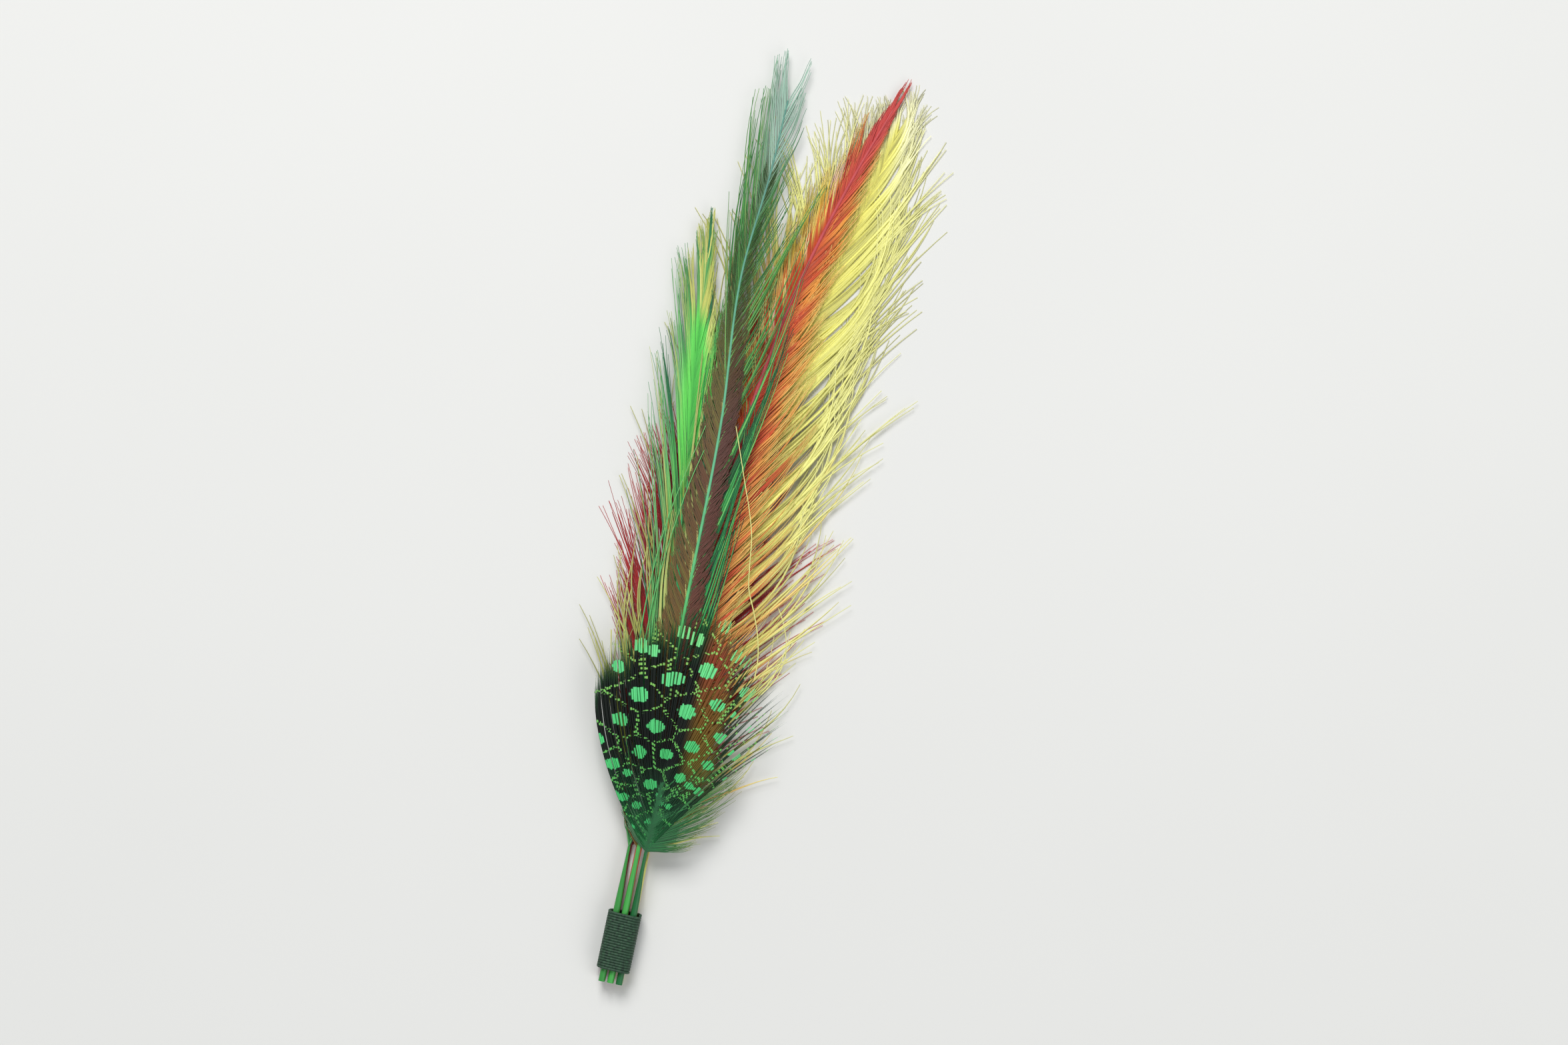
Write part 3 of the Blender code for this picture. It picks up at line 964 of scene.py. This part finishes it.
def bright_green_barbs():
    paint = Paint("bright_green_barbs")
    share, reach, side, away, tuft, chance = paint.numbers("share reach side away tuft chance")
    sheet = paint.ramp(reach, (0, 0.35, 0.8, 1), "46b446", "6ee060", "7ee66c", "aae274")
    strands = paint.ramp(tuft, (0, 0.4, 0.65, 1), "1e7646", "389e5a", "82c87e", "d0d27e")
    mood = (tuft + chance) / 2
    soft = paint.ramp(mood, (0.15, 0.4, 0.6, 0.75, 0.85), "2c7e48", "58a65a", "84b860", "c4ba64", "c88446")
    _, _, y = paint.plan()
    sheet = paint.blend(soft, sheet, paint.smooth(*SHEET_FROM_Y, y + (tuft - 0.5) * SHEET_RAGGED))
    top = paint.ramp(tuft, (0, 0.4, 0.65, 1), "247850", "6eb460", "c8cc68", "e2e288")
    outer = (side < 0) * paint.smooth(*SHEET_AWAY, away)
    ends = paint.smooth(0.6, 0.8, share) * paint.smooth(0.35, 0.7, reach + paint.smooth(0.8, 1.0, share))
    barbs = paint.blend(paint.blend(sheet, strands, outer), top, ends)
    return barb_finish(paint, barbs, roughness=(0.26, 0.4), shade_and_tone=(0.72, 1.22))


bright = PLACE["bright_green_hackle"]
green_shaft = shaft_finish("bright_green_shaft", (0, 1), "3c9642", "6ec860")
gather(
    bright,
    grow_shaft(bright, green_shaft, girth=0.5, sink=0.2),
    grow_barbs(
        bright, bright_green_barbs(),
        Pairs=360, Tuft=8.0, Draw=0.7, Splay=2.0, Stray=0.8, Radius=0.16, Ragged=0.25, Seed=41,
    ),
)

# %% [markdown]
# ## The green hackle
# The top hackle has a close brown vane of fine hairs beside its mint shaft, olive on the left and maroon on
# the right. Long glossy green strands leave it on both sides, and towards the tip the vane opens into loose
# dark green barbs that end in a pale plume. So it gets three growths, and three strands that cross the brown
# vane grow on lines of their own.

# %% Paint the green hackle
PLUME_COLOUR = "aaccb8"
PLUME_SHARES = (0.8, 0.93)
BROWN_FADE = 0.86
BROWN_FADE_SHARES = (0.52, 0.74)
FLECK_CLUMPS = 0.08


def brown_vane():
    paint = Paint("brown_vane_barbs")
    share, side, barb = paint.numbers("share side barb")
    olive = paint.ramp(share, (0.1, 0.35, 0.48, 0.62, 0.8), "7a5826", "745a2e", "6a4832", "7c743e", "58824a")
    places = (0.1, 0.35, 0.55, 0.66, 0.8)
    maroon = paint.ramp(share, places, "724824", "66382a", "603c32", "705436", "50783e")
    fleck = paint.smooth(0.5, 0.7, paint.noise(barb, FLECK_CLUMPS)) * (side < 0) * 0.4
    brown = paint.blend(paint.blend(olive, maroon, side > 0), srgb("848c3e"), fleck)
    paint.connect("Alpha", 1 - BROWN_FADE * paint.smooth(*BROWN_FADE_SHARES, share))
    return barb_finish(paint, brown, roughness=(0.5, 0.65), sheen=0.15, shade_and_tone=(0.8, 1.15))


def green_strands():
    paint = Paint("green_strands")
    share, tuft, side, chance = paint.numbers("share tuft side chance")
    left = paint.ramp(tuft, (0, 0.35, 0.6, 0.8, 1), "228850", "46b86c", "80ca70", "bed67e", "c49654")
    right = paint.ramp(chance, (0, 0.35, 0.7, 1), "0e3e2a", "1c6c3c", "38a654", "78ce6c")
    right = paint.blend(right, srgb("649e44"), paint.smooth(0.35, 0.6, share) * 0.7)
    plume = paint.smooth(*PLUME_SHARES, share)
    colour = paint.blend(paint.blend(left, right, side > 0), srgb(PLUME_COLOUR), plume)
    return barb_finish(paint, colour, roughness=(0.3, 0.42))


def loose_green():
    paint = Paint("loose_green_barbs")
    share, chance = paint.numbers("share chance")
    dark = paint.ramp(chance, (0, 0.6, 1), "287634", "489846", "82b060")
    barbs = paint.blend(dark, srgb(PLUME_COLOUR), paint.smooth(*PLUME_SHARES, share))
    return barb_finish(paint, barbs)


# %% Green hackle
CROSSING_STRANDS = (
    ((-6.8, 30), (-7.2, 42), (-6.6, 54), (-5.0, 64), (-3.6, 71)),
    ((-5.9, 30), (-6.1, 42), (-5.2, 54), (-3.9, 63), (-3.0, 67)),
    ((-4.6, 28), (-5.6, 40), (-6.4, 52), (-6.8, 61)),
)

green = PLACE["green_hackle"]
strand_shaft = shaft_finish("strand_green", (0, 1), "3ca860", "78c874")
mint_shaft = shaft_finish("mint_shaft", (0, 0.3, 0.5, 0.9), "4cb250", "60c46e", "6ec492", "689e8e")
gather(
    green,
    grow_shaft(green, mint_shaft, girth=0.75),
    grow_barbs(
        green, brown_vane(),
        left=Vane((34, 32, 30, 24, 14), (8, 8.5, 8, 5.5, 2.5), (10,) * 5),
        right=Vane((34, 32, 30, 26, 16), (5, 6, 6, 5, 2.5), (10,) * 5),
        Pairs=620, Steps=7, To=0.9, Tuft=6.0, Draw=0.4, Splay=2.0, Stray=1.5, Ragged=0.2, Radius=0.1,
        Tip_Radius=0.05, Loft=0.12, Lift=0.1, Curl=0.02, Seed=53,
    ),
    grow_barbs(
        green, green_strands(),
        Pairs=79, To=0.75, Tuft=8.0, Draw=0.6, Splay=2.0, Radius=0.2, Tip_Radius=0.05, Loft=0.15, Lift=-0.2,
        Short_Length=6.0, Seed=59,
    ),
    grow_barbs(
        green, loose_green(),
        left=Vane((11, 11, 9, 8, 9), (20, 22, 28, 34, 9), (4,) * 5, (0, 0, 0, 0.1, 0.2)),
        right=Vane((26, 26, 25, 18, 15), (12, 13, 14, 20, 9), (4,) * 5, (0, 0, 0, 0.1, 0.2)),
        Pairs=68, Steps=12, From=0.55, Tuft=3.0, Draw=0.5, Splay=3.0, Radius=0.1, Tip_Radius=0.045, Seed=61,
    ),
    *[grow_strand(green, points, strand_shaft, green.layer) for points in CROSSING_STRANDS],
)

# %% [markdown]
# ## Guinea fowl spots
# On the real feather a round spot is many short bars, one on each barb, that happen to line up, and the net
# between the spots is one short dash on each barb. Every point of a barb carries its place in the plan
# ("plan"), measured on the barb's middle line, so a bar ends square to its barb. The material asks how far
# that place is from the nearest spot and from the second nearest. Inside the first distance lies the spot,
# and where the two distances are equal runs the net. The spots stand where they stand on the real feather.

# %% Place the spots
SPOTS = (
    (0.1, 37.0, 1.32), (2.1, 36.3, 1.32), (-6.4, 33.4, 1.32), (-4.4, 33.0, 1.1), (6.6, 39.3, 1.16),
    (9.5, 34.8, 1.21), (10.8, 34.3, 1.1), (-9.3, 29.2, 1.1), (-1.0, 28.9, 1.21), (0.4, 29.4, 1.26),
    (5.1, 31.6, 1.38), (-5.0, 25.5, 1.38), (12.5, 29.1, 1.38), (3.0, 24.4, 1.32), (7.8, 26.4, 1.16),
    (-7.3, 20.7, 1.21), (-1.4, 21.0, 1.26), (9.4, 21.2, 0.99), (5.1, 18.9, 1.1), (-10.1, 16.6, 0.99),
    (-3.1, 16.3, 1.1), (1.2, 16.9, 0.99), (12.2, 18.8, 0.94), (-6.8, 13.3, 1.04), (8.2, 16.4, 0.88),
    (-4.3, 12.4, 0.71), (-0.2, 11.5, 0.94), (4.3, 13.5, 0.88), (5.9, 12.5, 0.66), (7.5, 11.9, 0.77),
    (-5.5, 8.4, 0.66), (-4.0, 8.4, 0.77), (-1.7, 7.6, 0.71), (1.4, 10.0, 0.44), (1.9, 8.8, 0.49),
    (3.3, 8.5, 0.49), (13.8, 23.6, 0.66), (16.0, 23.6, 0.66), (17.8, 23.2, 0.55), (15.4, 18.8, 0.55),
    (11.7, 14.6, 0.66), (10.9, 25.3, 0.66), (-1.8, 3.9, 0.44), (0.6, 5.4, 0.49),
)
SPOT_SQUASH = (0.92, 1.1, 0.0)
SPOT_EDGE = 0.04
SPOT_RAGGED = 0.3
FAR_OFF = (30.0, 40.0)
NET_WIDTH = 0.44
NET_VARIES = (0.6, 1.2)
NET_EDGE = 0.05
NET_CLEAR = 0.45
BEAD_MM = 0.75
BEAD_SHARE = 0.55
BEAD_SHIFT = 9
BARE_BARBS = 0.14
FEATHER_TOP = 42


def guinea_marks(paint, plan):
    """Masks of the spots and of the net of dashes between them."""
    chance, run = paint.numbers("chance run")
    nearest, second = FAR_OFF
    sockets = {0: plan, 1: SPOT_SQUASH}
    place = paint.add("ShaderNodeVectorMath", sockets, "Vector", operation="MULTIPLY")
    for x, y, radius in SPOTS:
        sockets = {0: place, 1: (x * SPOT_SQUASH[0], y * SPOT_SQUASH[1], 0)}
        gap = paint.add("ShaderNodeVectorMath", sockets, "Value", operation="DISTANCE") - radius
        second = paint.math("MINIMUM", second, paint.math("MAXIMUM", nearest, gap))
        nearest = paint.math("MINIMUM", nearest, gap)
    spots = paint.smooth(-SPOT_EDGE, SPOT_EDGE, (chance - 0.5) * SPOT_RAGGED - nearest)
    bead = paint.math("FRACT", run / BEAD_MM + chance * BEAD_SHIFT) < BEAD_SHARE
    beads = bead * (chance > BARE_BARBS)
    width = NET_WIDTH * mix(*NET_VARIES, chance)
    net = paint.smooth(-NET_EDGE, NET_EDGE, width - (second - nearest))
    return spots, net * beads * (nearest > NET_CLEAR)


print(len(SPOTS), "spots, the largest with a radius of", max(radius for _, _, radius in SPOTS), "mm")

# %% Paint the spotted barbs
RUSTY_X = 6.8
RUSTY_REACH = (1.2, 3.6)
RUSTY_FROM_Y = (9, 16)
CORNER_X = (-9.5, -6.5)
CORNER_Y = (25.0, 31.0)
THIN_ENDS = 0.9
THIN_RIGHT = 0.4
THIN_CORNER = 0.7
DASH_COVER = 0.6


def ground_colour(paint, x, y):
    """Green fluff at the base, then near black, with a rusty streak right of the middle."""
    up = y / FEATHER_TOP
    dark = paint.ramp(up, (0, 0.2, 0.38, 0.75, 0.9), "1e703a", "143c24", "121814", "141b16", "264c2c")
    warm = paint.ramp(up, (0.15, 0.4, 0.6, 0.75, 1), "2c542c", "6c5c20", "7c5622", "8c4228", "964a2c")
    streak = 1 - paint.smooth(*RUSTY_REACH, paint.math("ABSOLUTE", x - RUSTY_X))
    return paint.blend(dark, warm, streak * paint.smooth(*RUSTY_FROM_Y, y))


def spotted_barbs():
    """The ground turns green and thins out at the barbs' ends, at the right and in the upper left corner."""
    paint = Paint("spotted_guinea_barbs")
    plan, x, y = paint.plan()
    reach = paint.number("reach")
    spots, dashes = guinea_marks(paint, plan)
    up = y / FEATHER_TOP
    mint = paint.ramp(up, (0, 0.4, 0.7, 1), "3ab062", "54d27a", "70e894", "96f096")
    fleck = paint.ramp(up, (0, 0.4, 1), "32964e", "6ec460", "aad870")
    ends = paint.smooth(0.8, 1.0, reach)
    sparse = paint.smooth(*THIN_X, x) * THIN_RIGHT
    corner = paint.smooth(*CORNER_Y, y) * (1 - paint.smooth(*CORNER_X, x)) * THIN_CORNER
    bare = paint.math("MAXIMUM", ends * THIN_ENDS, paint.math("MAXIMUM", sparse, corner))
    ground = paint.blend(ground_colour(paint, x, y), srgb("2c703a"), bare)
    barbs = paint.blend(paint.blend(ground, fleck, dashes), mint, spots)
    paint.connect("Alpha", 1 - bare * (1 - spots) * (1 - DASH_COVER * dashes))
    paint.shader.inputs["Specular IOR Level"].default_value = 0.25
    return barb_finish(paint, barbs, roughness=(0.5, 0.6), sheen=0.0, shade_and_tone=(0.8, 1.15))


def downy_barbs():
    paint = Paint("green_down")
    reach, side = paint.numbers("reach side")
    right = paint.ramp(reach, (0, 0.5, 0.85, 1), "146032", "28763a", "68924e", "b2b67a")
    left = paint.ramp(reach, (0, 0.6, 1), "166032", "327440", "548c5c")
    return barb_finish(paint, paint.blend(left, right, side > 0), roughness=(0.55, 0.7), sheen=0.4)


# %% Grow the guinea feather
guinea = PLACE["guinea_feather"]
dark_shaft = shaft_finish("dark_green_shaft", (0, 1), "1e6e38", "1c241e")
gather(
    guinea,
    grow_shaft(guinea, dark_shaft, girth=0.6, sink=0.25),
    grow_barbs(
        guinea, spotted_barbs(),
        Pairs=43, Steps=40, Draw=0.0, Splay=0.0, Stray=0.3, Ragged=0.05, Radius=0.215, Root_Girth=0.4,
        Thin=0.62, Tip_Radius=0.04, Taper_From=0.8, Flatness=0.35, Curl=0.0, Loft=0.06, Seed=67,
    ),
    grow_barbs(
        guinea, downy_barbs(),
        left=Vane((50, 46, 40, 30, 20), (6, 10, 10, 8, 6), (10,) * 5),
        right=Vane((85, 56, 52, 44, 30), (8, 18, 20, 16, 9), (4,) * 5),
        Pairs=260, Steps=10, Draw=0.6, Tuft=12.0, Splay=6.0, Stray=5.0, Ragged=0.4, Radius=0.085,
        Tip_Radius=0.03, Curl=0.1, Loft=0.3, Lift=-0.15, Seed=71,
    ),
)

# %% [markdown]
# ## The thread
# Waxed thread holds the quills together below the barbs. It is one helix that follows the outline of the
# bundle, so the tree walks round the outline once for each turn while it moves on along the quills.

# %% Wind the thread
THREAD_RADIUS = 0.24
THREAD_TURNS = 22
POINTS_PER_TURN = 40
BINDING_HALF_WIDTH = 2.8
BINDING_HEIGHT = 4.05
BINDING_CORNER = 1.5
CORNER_STEPS = 6
THREAD_SIDES = 8
STRANDS_PER_TURN = 30
THREAD_INPUTS = {
    "Turns": THREAD_TURNS,
    "Points": THREAD_TURNS * POINTS_PER_TURN,
    "Start": BINDING_Y[0],
    "Length": BINDING_LENGTH,
    "Thread Radius": THREAD_RADIUS,
    "Material": None,
}


def build_outline():
    """The outline of the wrapped quills, seen along them, as a closed line."""
    half = BINDING_HALF_WIDTH - THREAD_RADIUS
    low, high = THREAD_RADIUS, BINDING_HEIGHT - THREAD_RADIUS
    corner = BINDING_CORNER - THREAD_RADIUS
    points = []
    for turn, (x, z) in enumerate((
        (half - corner, high - corner),
        (corner - half, high - corner),
        (corner - half, low + corner),
        (half - corner, low + corner),
    )):
        for angle in np.radians(90 * turn + np.linspace(0, 90, CORNER_STEPS + 1)):
            points.append((x + corner * math.cos(angle), 0, z + corner * math.sin(angle)))
    return draw_line("thread", points, closed=True)


def build_thread_tree():
    net = GrowthTree("thread", THREAD_INPUTS)
    along = net.add("GeometryNodeSplineParameter", key="Factor")
    turn = along * net.take("Turns")
    x, _, z = net.guide_place(net.math("FRACT", turn))
    radius = net.take("Thread Radius")
    y = net.take("Start") + radius + along * (net.take("Length") - radius * 2)
    line = net.store(net.straight_line(net.take("Points")), "turn", turn)
    return net.finish(net.skin(net.move(line, x, y, z), radius, THREAD_SIDES, 1.0))


def thread_finish():
    paint = Paint("dark_green_thread")
    turn = paint.number("turn")
    strands = paint.noise(turn * STRANDS_PER_TURN, 1.0)
    paint.connect("Base Color", paint.ramp(strands, (0.3, 0.7), "1a3424", "34583e"))
    paint.connect("Roughness", mix(0.5, 0.7, strands))
    paint.emboss(strands, strength=0.4)
    return paint.material


thread_inputs = THREAD_INPUTS | {"Material": thread_finish()}
thread_piece = apply_tree(build_outline(), build_thread_tree(), thread_inputs)
thread_piece.name = "binding_thread"
claim(thread_piece, "binding")

# %% [markdown]
# ## Floor and light
# A pale floor and soft light show the colours plainly. A large lamp stands beyond the tips, and a weak one
# fills the shadows from the other side.

# %% Lay the floor and hang the lamps
FLOOR_SIZE = 3.0
SKY_COLOUR = (0.9, 0.95, 1, 1)
SKY_STRENGTH = 0.32

floor_paint = Paint("pale_floor")
floor_grain = floor_paint.add("ShaderNodeTexNoise", {"Scale": 30.0, "Detail": 3.0})
floor_paint.connect("Base Color", floor_paint.blend(srgb("ecebe7"), srgb("f1f0ec"), floor_grain))
floor_paint.shader.inputs["Roughness"].default_value = 0.9
bpy.ops.mesh.primitive_plane_add(size=FLOOR_SIZE)
floor = bpy.context.object
floor.name = "floor"
floor.data.materials.append(floor_paint.material)
floor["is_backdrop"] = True


def add_lamp(name, place, size, power):
    """A square soft lamp that faces the bunch."""
    data = bpy.data.lights.new(name, "AREA")
    data.size = size
    data.energy = power
    lamp = put(name, data)
    lamp.location = aim + Vector(place)
    lamp.rotation_euler = Vector(place).to_track_quat("Z", "Y").to_euler()


add_lamp("key", place=(-0.35, 0.75, 0.9), size=0.6, power=11.5)
add_lamp("fill", place=(0.7, -0.5, 0.8), size=0.8, power=3.5)
world = bpy.data.worlds.new("studio")
world.use_nodes = True
sky = world.node_tree.nodes["Background"]
sky.inputs["Color"].default_value = SKY_COLOUR
sky.inputs["Strength"].default_value = SKY_STRENGTH
bpy.context.scene.world = world
bpy.context.scene.view_settings.view_transform = "Standard"

# %% Measure and finish
visual_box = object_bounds()
for axis, name in enumerate("XYZ"):
    low = (visual_box[0][axis] - cad_box[0][axis]) / MM
    high = (visual_box[1][axis] - cad_box[1][axis]) / MM
    print(name, "low differs by", round(low, 2), "mm, high by", round(high, 2), "mm")
